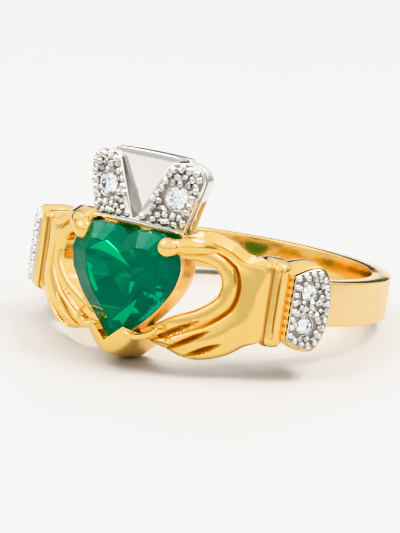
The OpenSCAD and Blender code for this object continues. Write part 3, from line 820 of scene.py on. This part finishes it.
def bead_point(s, j):
    """A half-round front, which narrows at both ends, and a block that runs back to the finger."""
    r, ends = BEAD_D / 2, 0.62 * BEAD_D / 2
    z = -BEAD_H / 2 * math.cos(math.pi * j / BEAD_ROWS)
    over = max(0, abs(z) - BEAD_H / 2 + ends)
    half = r - ends + math.sqrt(max(0, ends ** 2 - over ** 2))
    if s > ROUND:
        return Vector((half * (AROUND - 1 - s) * 2 - half, -FINGER_R - RELIEF, z))
    turn = math.pi * s / ROUND
    x = -half * math.cos(turn)
    score = SCORE_D * math.exp(-((x - SCORE_AT) / SCORE_W) ** 2)
    score *= 1 - min(1, abs(z) / (0.42 * BEAD_H)) ** 6
    return Vector((x, -(FACE_R - r + half * math.sin(turn) - score), z))


def bead_painted_shade(s, j):
    """Dulling and painted shade on the two stations beside the hand, and on the scored line but for
    its ends.
    """
    return 0.9 * (s in (5, 6) or s == 11 and 8 < j < 28)


bead = domed(closed_tube(AROUND, BEAD_ROWS, bead_point, bead_painted_shade), FACE_R - 0.3, 0.06)
rotated(bead, (WRIST + 0.2 + 0.42 * BEAD_D) / PALM_R)
pair("bead_SIDE", bead)


def grain_column():
    column = bmesh.new()
    for i in range(9):
        at = wrapped(GRAIN_ROW + 0.08, CUFF_FACE - 0.16, (i - 4) * 0.42)
        join_into(column, ball(0.18, at, level=3))
    return column


pair("grains_SIDE", grain_column())

# %% [markdown]
# ## The rail behind the lobes
# A curved bar joins the two hands behind the heart's lobes and carries the crown's foot. One
# side of a cube is its section, and spin carries that round the finger.

# %% Crown rail
RAIL_T, RAIL_H = 1.05, 0.59


def crown_rail():
    span = 2 * (HAND_START + 0.12 * HAND_LEN) / PALM_R
    bm = bmesh.new()
    bmesh.ops.create_cube(bm, size=1.0)
    bmesh.ops.scale(bm, verts=bm.verts, vec=(0.002, RAIL_T, RAIL_H))
    bmesh.ops.translate(bm, verts=bm.verts, vec=(0, -CROWN_BACK - RAIL_T / 2,
                                                 LOBE_TOP - GAP - RAIL_H / 2))
    bmesh.ops.delete(bm, geom=[f for f in bm.faces if abs(f.normal.x) < 0.5 or f.normal.x < 0],
                     context="FACES")
    rotated(bm, -span / 2)
    bmesh.ops.spin(bm, geom=bm.verts[:] + bm.edges[:] + bm.faces[:], cent=(0, 0, 0),
                   axis=(0, 0, 1), angle=span, steps=40)
    return bm


piece("crown_rail", crown_rail())

# %% [markdown]
# ## Cutting a stone
# A lapidary grinds one flat after another on a turning lap. The same is done here: bisect_plane
# cuts a plane through the rough, clears what lies outside and leaves a face in its place.

# %% Lapidary
def grind(bm, point, normal):
    """One facet: what lies beyond the plane goes, and the cut is closed."""
    cut = bmesh.ops.bisect_plane(bm, geom=bm.verts[:] + bm.edges[:] + bm.faces[:], dist=1e-5,
                                 plane_co=point, plane_no=normal, clear_outer=True)
    edges = [g for g in cut["geom_cut"] if isinstance(g, bmesh.types.BMEdge)]
    if edges:
        bmesh.ops.contextual_create(bm, geom=edges)


# %% [markdown]
# ## The heart stone
# The rough is a slab with half of the heart's outline. Each cut on the crown has a steep flat
# at the girdle and a shallow one above it, and each on the pavilion a steep and a flatter one.

# %% Cut the heart
GIRDLE_T, HEART_TOP, HEART_DEPTH = 0.16, 0.85, 2.2
TABLE_Y = GIRDLE_Y + GIRDLE_T / 2 + HEART_TOP
# places on the half outline, of 40
CROWN_CUTS = [3, 7, 11, 14, 17, 20, 24, 29, 34]
PAVILION_CUTS = [5, 10, 14, 18, 22, 28, 34]


def grind_heart(bm, at, outward, tilt, y, way):
    """A flat that leans outwards by a tilt in degrees, towards the front (-1) or the back (1)."""
    lean = math.sin(math.radians(tilt)) * outward
    grind(bm, (at.x, -y, at.y), (lean.x, way * math.cos(math.radians(tilt)), lean.y))


def cut_heart():
    """Half of the rough is ground flat by flat, then mirrored, so that the two halves meet."""
    half = [p for p, n in heart_half(24)]
    outline = [Vector((0, HEART_TIP))] + [Vector((0, half[0].y))] + half[1:-1]
    bm = slab(outline, GIRDLE_Y - GIRDLE_T / 2 - HEART_DEPTH, TABLE_Y, soft=0)
    middle = Vector((0, LOBE_TOP - 0.42 * HEART_H))
    places = heart_half(40)
    for k in CROWN_CUTS:
        p, n = places[k]
        for tilt, inward, rise in ((60, 0.0, 0.0), (24 + 14 * abs(n.y), 0.115, 0.2)):
            grind_heart(bm, p - n * inward, n, tilt, GIRDLE_Y + GIRDLE_T / 2 + rise, -1)
    for k in PAVILION_CUTS:
        p, n = places[k]
        for tilt, share, fall in ((42, 1.0, 0.0), (30, 0.6, 0.55)):
            grind_heart(bm, middle + (p - middle) * share, n, tilt,
                        GIRDLE_Y - GIRDLE_T / 2 - fall * HEART_DEPTH, 1)
    inner = [f for f in bm.faces if all(abs(v.co.x) < 1e-4 for v in f.verts)]
    bmesh.ops.delete(bm, geom=inner, context="FACES")
    return join_into(mirrored(bm), bm)


piece("heart_stone", cut_heart(), EMERALD, "emerald", sharp=1, node="heart_emerald")

# %% [markdown]
# The pavilion's facets throw some of the light straight back, as bright flashes under the
# table. A few path-traced bounces don't find them all, so each is a thin sliver with a lit
# facet's outline, set inside the stone. It gives off a little light of its own.

# %% Flashes under the table
GLINT, tree, out, where = new_material("lit_emerald_facet")
lit = two_tones(tree, where, 0.8, 3.0, "#00C88E", "#12E0A4")
shader = add(tree, "ShaderNodeBsdfPrincipled", Base_Color=lit, Roughness=0.25,
             Emission_Color=lit, Emission_Strength=1.5)
tree.links.new(shader.outputs[0], out.inputs["Surface"])
SLIVER_T = 0.04
# depth under the table, then x and z of each sliver's corners
FLASHES = [
    (0.05, [(-1.89, 1.40), (-1.31, 1.85), (-0.82, 2.05), (-0.02, 1.61), (0.80, 0.95),
            (-0.37, 1.32), (-1.25, 1.47)]),
    (0.05, [(-1.89, 0.62), (-1.48, 0.54), (-1.57, 0.30), (-1.77, 0.31)]),
    (0.05, [(-1.79, 0.42), (-1.37, -0.05), (-0.92, -0.74), (-1.11, -0.83), (-1.53, -0.31)]),
    (0.50, [(-0.03, -2.12), (0.68, -1.35), (1.29, -0.73), (1.15, -1.42), (0.66, -2.36),
            (0.42, -2.08)])]


def flashes():
    bm = bmesh.new()
    for depth, outline in FLASHES:
        join_into(bm, slab(outline, TABLE_Y - depth - SLIVER_T, TABLE_Y - depth, soft=0))
    return bm


piece("heart_flashes", flashes(), GLINT, "emerald", sharp=1, node="heart_emerald")

# %% [markdown]
# ## The round stones
# A round brilliant has a table, eight crown mains with stars and halves between them, and a
# pavilion of eight mains and sixteen halves. Each is one cut on a short cylinder.

# %% Brilliants
def brilliant(d):
    """Cut table up, as on the lap, then turned so that the table faces the viewer."""
    r = d / 2
    # number of facets, turn of the first, tilt, height of the cut, reach from the middle
    cuts = ((8, 0, 34, 0.02, 1.0), (8, 22.5, 23, 0.128, 0.6), (16, 11.25, 41, 0.02, 1.0),
            (8, 0, -41, -0.02, 1.0), (16, 11.25, -43, -0.02, 1.0))
    bm = bmesh.new()
    bmesh.ops.create_cone(bm, cap_ends=True, segments=32, radius1=r, radius2=r, depth=0.6 * d,
                          matrix=Matrix.Translation((0, 0, -0.14 * d)))
    for count, shift, tilt, height, reach in cuts:
        for i in range(count):
            turn = math.radians(i * 360 / count + shift)
            up = math.radians(abs(tilt))
            normal = Vector((math.cos(turn) * math.sin(up), math.sin(turn) * math.sin(up),
                             math.copysign(math.cos(up), tilt)))
            grind(bm, (reach * r * math.cos(turn), reach * r * math.sin(turn), height * d), normal)
    return rotated(bm, math.pi / 2, "X")


sample = brilliant(1.0)
print("a round stone has", len(sample.faces), "faces")
sample.free()

# %% [markdown]
# ## The crown
# The white-gold crown is a plate with two raised petals, each full of beads round one stone,
# and a smooth V-shaped panel between them. Half of each outline is drawn, as shares of the
# crown's half width and height, and the other half mirrors it.

# %% Crown outlines
CROWN_H, CROWN_SHOULDER = 4.1, 3.62
PETAL_TURN = math.radians(11)
CROWN_T, PETAL_T, PANEL_RISE = 0.6, 0.42, 1.4  # the panel's rise is in petal thicknesses
CROWN_Z = LOBE_TOP + GAP
PETAL_FRONT = CROWN_BACK + CROWN_T + PETAL_T
CROWN_STONE_D = 1.25
PETAL = [(0, 0.075), (0.80, 0.03), (0.90, 0.36), (1.00, 0.69), (0.985, 0.79), (0.92, 0.875),
         (0.81, 0.925), (0.64, 0.935), (0.50, 0.91), (0.42, 0.86)]
PLATE = [(0.80, 0), (0.90, 0.36), (1.00, 0.69), (0.985, 0.79), (0.92, 0.875), (0.81, 0.925),
         (0.66, 0.94), (0.62, 0.985), (0.3, 0.997), (0, 1)]
FOOT = [(-0.03, 0.045), (0.80, 0), (0.815, 0.055), (-0.03, 0.1)]
PANEL = [(0, 0.05), (0.1, 0.12), (0.47, 0.9), (0.60, 0.95), (0.58, 0.985), (0.3, 0.997), (0, 1)]


def crown_point(share):
    return Vector((share[0] * CROWN_SHOULDER, CROWN_Z + share[1] * CROWN_H))


def both_halves(half):
    points = [crown_point(p) for p in half]
    return points + [Vector((-p.x, p.y)) for p in points[-2::-1]
                     if abs(p.x) > 1e-6 or p is points[0]]


def turned(bm):
    """A petal turns about its shoulder, which brings its inner edge forward."""
    pivot = Matrix.Translation((CROWN_SHOULDER, -PETAL_FRONT, 0))
    return placed(bm, pivot @ Matrix.Rotation(PETAL_TURN, 4, "Z") @ pivot.inverted())


PETAL_EDGE = [crown_point(p) for p in PETAL]
STONE_AT = crown_point((0.61, 0.465))
print("crown stone's middle, x and z:", [round(q, 2) for q in STONE_AT])

# %% [markdown]
# The plate is drilled behind each stone. The petal is a drilled plate too, with a plain foot
# below and a plain strip along the panel. It turns a little about its shoulder, so that its
# inner edge stands in front of the panel and throws a shadow on it.

# %% Crown plates and petals
STRIP_W, EYE_R = 0.28, 0.5


def crown_plates():
    eyes = [(Vector((side * (STONE_AT.x + 0.1), STONE_AT.y)), EYE_R) for side in (-1, 1)]
    bm = slab(both_halves(PLATE), CROWN_BACK, CROWN_BACK + CROWN_T, holes=eyes)
    return join_into(bm, slab(both_halves(PANEL)[:-1], CROWN_BACK + 0.1,
                              CROWN_BACK + CROWN_T + PANEL_RISE * PETAL_T))


def petal():
    deep = CROWN_BACK + CROWN_T / 2
    bm = slab(PETAL_EDGE, deep, PETAL_FRONT, holes=[(STONE_AT, CROWN_STONE_D / 2 + GAP)])
    join_into(bm, slab([crown_point(p) for p in FOOT], deep, PETAL_FRONT + 0.06, soft=0.03))
    low, high = PETAL_EDGE[0], PETAL_EDGE[-1]
    along = (high - low).normalized()
    across = STRIP_W * Vector((along.y, -along.x))
    strip = [low, low + across * 1.6, high + across * 1.1, high]  # wider at its foot
    return turned(join_into(bm, slab(strip, deep, PETAL_FRONT + 0.05, soft=0.04)))


# Each plate's front takes the matt white gold darkened with painted shade.
for made in (pair("petal_SIDE", petal(), WHITE_GOLD, "white_gold", node="crown")
             + [piece("crown_plates", crown_plates(), WHITE_GOLD, "white_gold", node="crown")]):
    made.data.materials.append(MATT_SHADED_WHITE_GOLD)

# %% [markdown]
# A row of milgrain follows the petal's edge, four claws hold the stone, and packed beads fill
# what is left. The beads of both kinds stand a hair proud of the plate.

# %% Crown beads
PETAL_GRAIN_R, PETAL_GRAIN_PITCH, CLAW_R = 0.24, 0.6, 0.2
PAVE_PROUD = 0.03
CROWN_GEM = (Matrix.Translation((STONE_AT.x, -PETAL_FRONT, STONE_AT.y))
             @ Matrix.Rotation(math.radians(19), 4, "Y"))


def crown_beads():
    row = beads_along(inset_path(PETAL_EDGE, 1.15 * PETAL_GRAIN_R), PETAL_FRONT, PETAL_GRAIN_R,
                      PETAL_GRAIN_PITCH, len(PETAL_EDGE) - 1)
    for x in (-1, 1):
        for z in (-1, 1):
            claw = ball(CLAW_R, (x * 1.35 * CLAW_R, 0, z * (CROWN_STONE_D / 2 + 1.5 * CLAW_R)))
            join_into(row, placed(claw, CROWN_GEM))
    return turned(row)


def petal_pave():
    clear = [(STONE_AT, CROWN_STONE_D / 2 + 0.14)]
    return turned(packed_beads(PETAL_EDGE, PETAL_FRONT + PAVE_PROUD, r=0.23, pitch=0.42,
                               margin=0.2, clear=clear))


pair("crown_beads_SIDE", crown_beads(), BEAD_WHITE_GOLD, "white_gold", node="crown")
pair("crown_pave_SIDE", petal_pave(), BEAD_WHITE_GOLD, "white_gold", sharp=5, node="crown")

# %% [markdown]
# Each stone is set in its petal, which carries it round with its own turn. It takes the place
# of the CAD stone.

# %% Crown stones
gem = turned(placed(brilliant(CROWN_STONE_D), CROWN_GEM))
pair("crown_stone_SIDE", gem, DIAMOND, "diamond", sharp=1, node="crown_diamond_SIDE")

# %% [markdown]
# ## The plaques
# A plaque is a white-gold plate set flush into the cuff, full of beads round two stones. It is
# made as the petals are, with milgrain along its edge and six small claws.

# %% Plaques
CUFF_STONE_D, GRAIN_R, GRAIN_PITCH = 0.9, 0.19, 0.45
CLAWS = [(-0.16, 0), (0.02, 0.03), (0.2, 0.1), (0.2, -0.1), (0.22, 0.3), (0.22, -0.3)]
STONES = [Vector((-0.1 * PLAQUE_W, up * 0.205 * PLAQUE_H)) for up in (-1, 1)]


def plaque():
    holes = [(at, CUFF_STONE_D / 2 + GAP) for at in STONES]
    bm = slab(plaque_outline(), FACE_R - PLAQUE_T, FACE_R, holes=holes)
    join_into(bm, beads_along(inset_path(plaque_outline(1), -1.15 * GRAIN_R), FACE_R, GRAIN_R,
                              GRAIN_PITCH, len(plaque_outline(1))))
    for x, z in CLAWS:
        join_into(bm, ball(CLAW_R, (x * PLAQUE_W, -FACE_R, z * PLAQUE_H)))
    return rotated(bm, PLAQUE_TURN)


def plaque_pave():
    clear = [(at, CUFF_STONE_D / 2 + 0.12) for at in STONES]
    field = packed_beads(plaque_outline(), FACE_R + PAVE_PROUD, r=0.21, pitch=0.38,
                         margin=0.24, clear=clear)
    return rotated(field, PLAQUE_TURN)


plate, pave = plaque(), plaque_pave()
for side, plated, paved in (("left", mirrored(plate), mirrored(pave)), ("right", plate, pave)):
    node = f"cuff_plaque_{side}"
    made = piece(f"plaque_{side}", plated, WHITE_GOLD, "white_gold", node=node)
    # The plate's front takes the matt white gold darkened with painted shade.
    made.data.materials.append(MATT_SHADED_WHITE_GOLD)
    piece(f"plaque_pave_{side}", paved, BEAD_WHITE_GOLD, "white_gold", sharp=5, node=node)

# %% [markdown]
# Two stones go into each plaque, one above the other. One is cut for each height, moved to its
# hole and mirrored.

# %% Cuff stones
for at, word in zip(STONES[::-1], ("upper", "lower")):
    gem = brilliant(CUFF_STONE_D)
    bmesh.ops.translate(gem, verts=gem.verts, vec=(at.x, -FACE_R, at.y))
    pair(f"cuff_stone_SIDE_{word}", rotated(gem, PLAQUE_TURN), DIAMOND, "diamond", sharp=1,
         node=f"cuff_diamond_SIDE_{word}")

# %% [markdown]
# ## Studio
# The ring lies on a floor of pale matt paper, at the height of the ring's lowest point. Paper
# drifts a little in tone and is rough, so that it takes a soft shadow and mirrors nothing.

# %% Floor
PAPER = toned_material("matt_paper_sweep", 6.0, 3.0, "#AEADAC", "#B2B1B0", Roughness=0.55)


def stage_plane(name, size, matrix, material):
    bm = bmesh.new()
    bmesh.ops.create_grid(bm, x_segments=1, y_segments=1, size=0.5,
                          matrix=matrix @ Matrix.Diagonal((*size, 1, 1)))
    to_object(name, bm, material)


floor_z = cad_box[0][2]
stage_plane("floor", (3.0, 3.0), Matrix.Translation((0, 0, floor_z)), PAPER)
print("floor at z =", round(floor_z * 1000, 3), "mm")

# %% [markdown]
# The flat tops of polished metal mirror what is low and far away. One low card of dark felt
# stands far behind the ring, as a jeweller's photographer sets it, and gives them a dark edge.

# %% Dark card
FELT = toned_material("dark_felt_card", 2.0, 2.0, "#2C2A2A", "#3A3735", Roughness=0.9)
CARD_AWAY, CARD_W, CARD_H = 0.3, 0.6, 0.045  # metres
behind = math.atan2(0.829, -0.485)  # the way the camera looks, seen from above
card_at = (CARD_AWAY * math.cos(behind), CARD_AWAY * math.sin(behind), floor_z + CARD_H / 2)
upright = Matrix.Rotation(behind - math.pi / 2, 4, "Z") @ Matrix.Rotation(math.pi / 2, 4, "X")
stage_plane("back_card", (CARD_W, CARD_H), Matrix.Translation(card_at) @ upright, FELT)
print("dark card's middle in metres:", [round(q, 3) for q in card_at])

# %% [markdown]
# Four soft boxes light the ring. A large light gives a broad highlight with a soft end, and a
# small one a hard spark. The key box is in front on the left and the top box over the right.
# The back box lights the crown's upper edges, and the weak fill box opens the shadows.

# %% Soft boxes
def soft_box(name, at, size, watts):
    light = bpy.data.lights.new(name, "AREA")
    light.shape, light.size, light.size_y = "RECTANGLE", size[0], size[1]
    light.energy = watts
    lamp = bpy.data.objects.new(name, light)
    lamp.location = at
    lamp.rotation_euler = (-Vector(at)).to_track_quat("-Z", "Y").to_euler()
    bpy.context.scene.collection.objects.link(lamp)
    print(f"{name}: {watts} W, {Vector(at).length:.2f} m away")


soft_box("key_box", (-0.14, -0.11, 0.23), (0.22, 0.16), 0.90)
soft_box("fill_box", (0.24, -0.06, 0.12), (0.10, 0.14), 0.06)
soft_box("top_box", (0.10, 0.08, 0.26), (0.12, 0.10), 0.80)
soft_box("back_box", (-0.04, 0.20, 0.27), (0.20, 0.10), 0.30)

# %% [markdown]
# Metal shows little but what it mirrors, so the room matters as much as the lights. This one is
# twice as bright overhead as low down, and falls to half on the right. Both changes are smooth,
# and they give the gold its slow turn from light to dark.

# %% Room
world = bpy.data.worlds.new("studio")
world.use_nodes = True
tree = world.node_tree
sky = tree.nodes["Background"]
sky.inputs[0].default_value = linear("#F2F3F5")
heading = add(tree, "ShaderNodeTexCoord").outputs["Generated"]
height = add(tree, "ShaderNodeSeparateXYZ", Vector=heading).outputs["Z"]
aside = add(tree, "ShaderNodeVectorMath", {"operation": "DOT_PRODUCT"}, _0=heading,
            _1=(0.94, 0.33, 0.05)).outputs["Value"]
smooth = {"interpolation_type": "SMOOTHSTEP"}
overhead = add(tree, "ShaderNodeMapRange", smooth, Value=height,
               From_Min=0.1, From_Max=0.7, To_Min=0.86, To_Max=1.7)
dimmed = add(tree, "ShaderNodeMapRange", smooth, Value=aside,
             From_Min=0.72, From_Max=0.95, To_Min=1.0, To_Max=0.5)
strength = add(tree, "ShaderNodeMath", {"operation": "MULTIPLY"},
               _0=overhead.outputs[0], _1=dimmed.outputs[0])
tree.links.new(strength.outputs[0], sky.inputs[1])
bpy.context.scene.world = world
print("room:", len(tree.nodes), "nodes")

# %% [markdown]
# ## Camera
# The camera stands where the photographer's did: 30 degrees round to the right of the heart,
# 16 degrees above the floor, with a long lens from about a hand's breadth away. The numbers are
# those of a camera that was fitted to the photograph: its three axes and its place in metres.

# %% Camera
RIGHT = (0.8512965383634568, 0.5203586794205357, 0.06723874271661837)
UP = (-0.20072667219859802, 0.20458989055266383, 0.9580458129712407)
TOWARDS = (0.4847710870487968, -0.8290776932443455, 0.2786165316813824)
CAMERA_AT = (0.0494822, -0.0878752, 0.0293316)
camera = bpy.data.objects.new("camera", bpy.data.cameras.new("camera"))
camera.matrix_world = Matrix([*zip(RIGHT, UP, TOWARDS, CAMERA_AT), (0, 0, 0, 1)])
camera.data.sensor_fit = "AUTO"
camera.data.sensor_width = 36.0
camera.data.lens = 117.83
camera.data.clip_start = 0.001
bpy.context.scene.collection.objects.link(camera)
bpy.context.scene.camera = camera
print(f"camera {Vector(CAMERA_AT).length * 1000:.0f} mm away, lens {camera.data.lens:.0f} mm")

# %% [markdown]
# A polished highlight is far brighter than the gold round it. This view transform keeps the
# middle tones as saturated as they are and lets the highlights run out to cream. The plain curve
# clips them to yellow, and the softer default greys the gold.

# %% View
bpy.context.scene.view_settings.view_transform = "Khronos PBR Neutral"
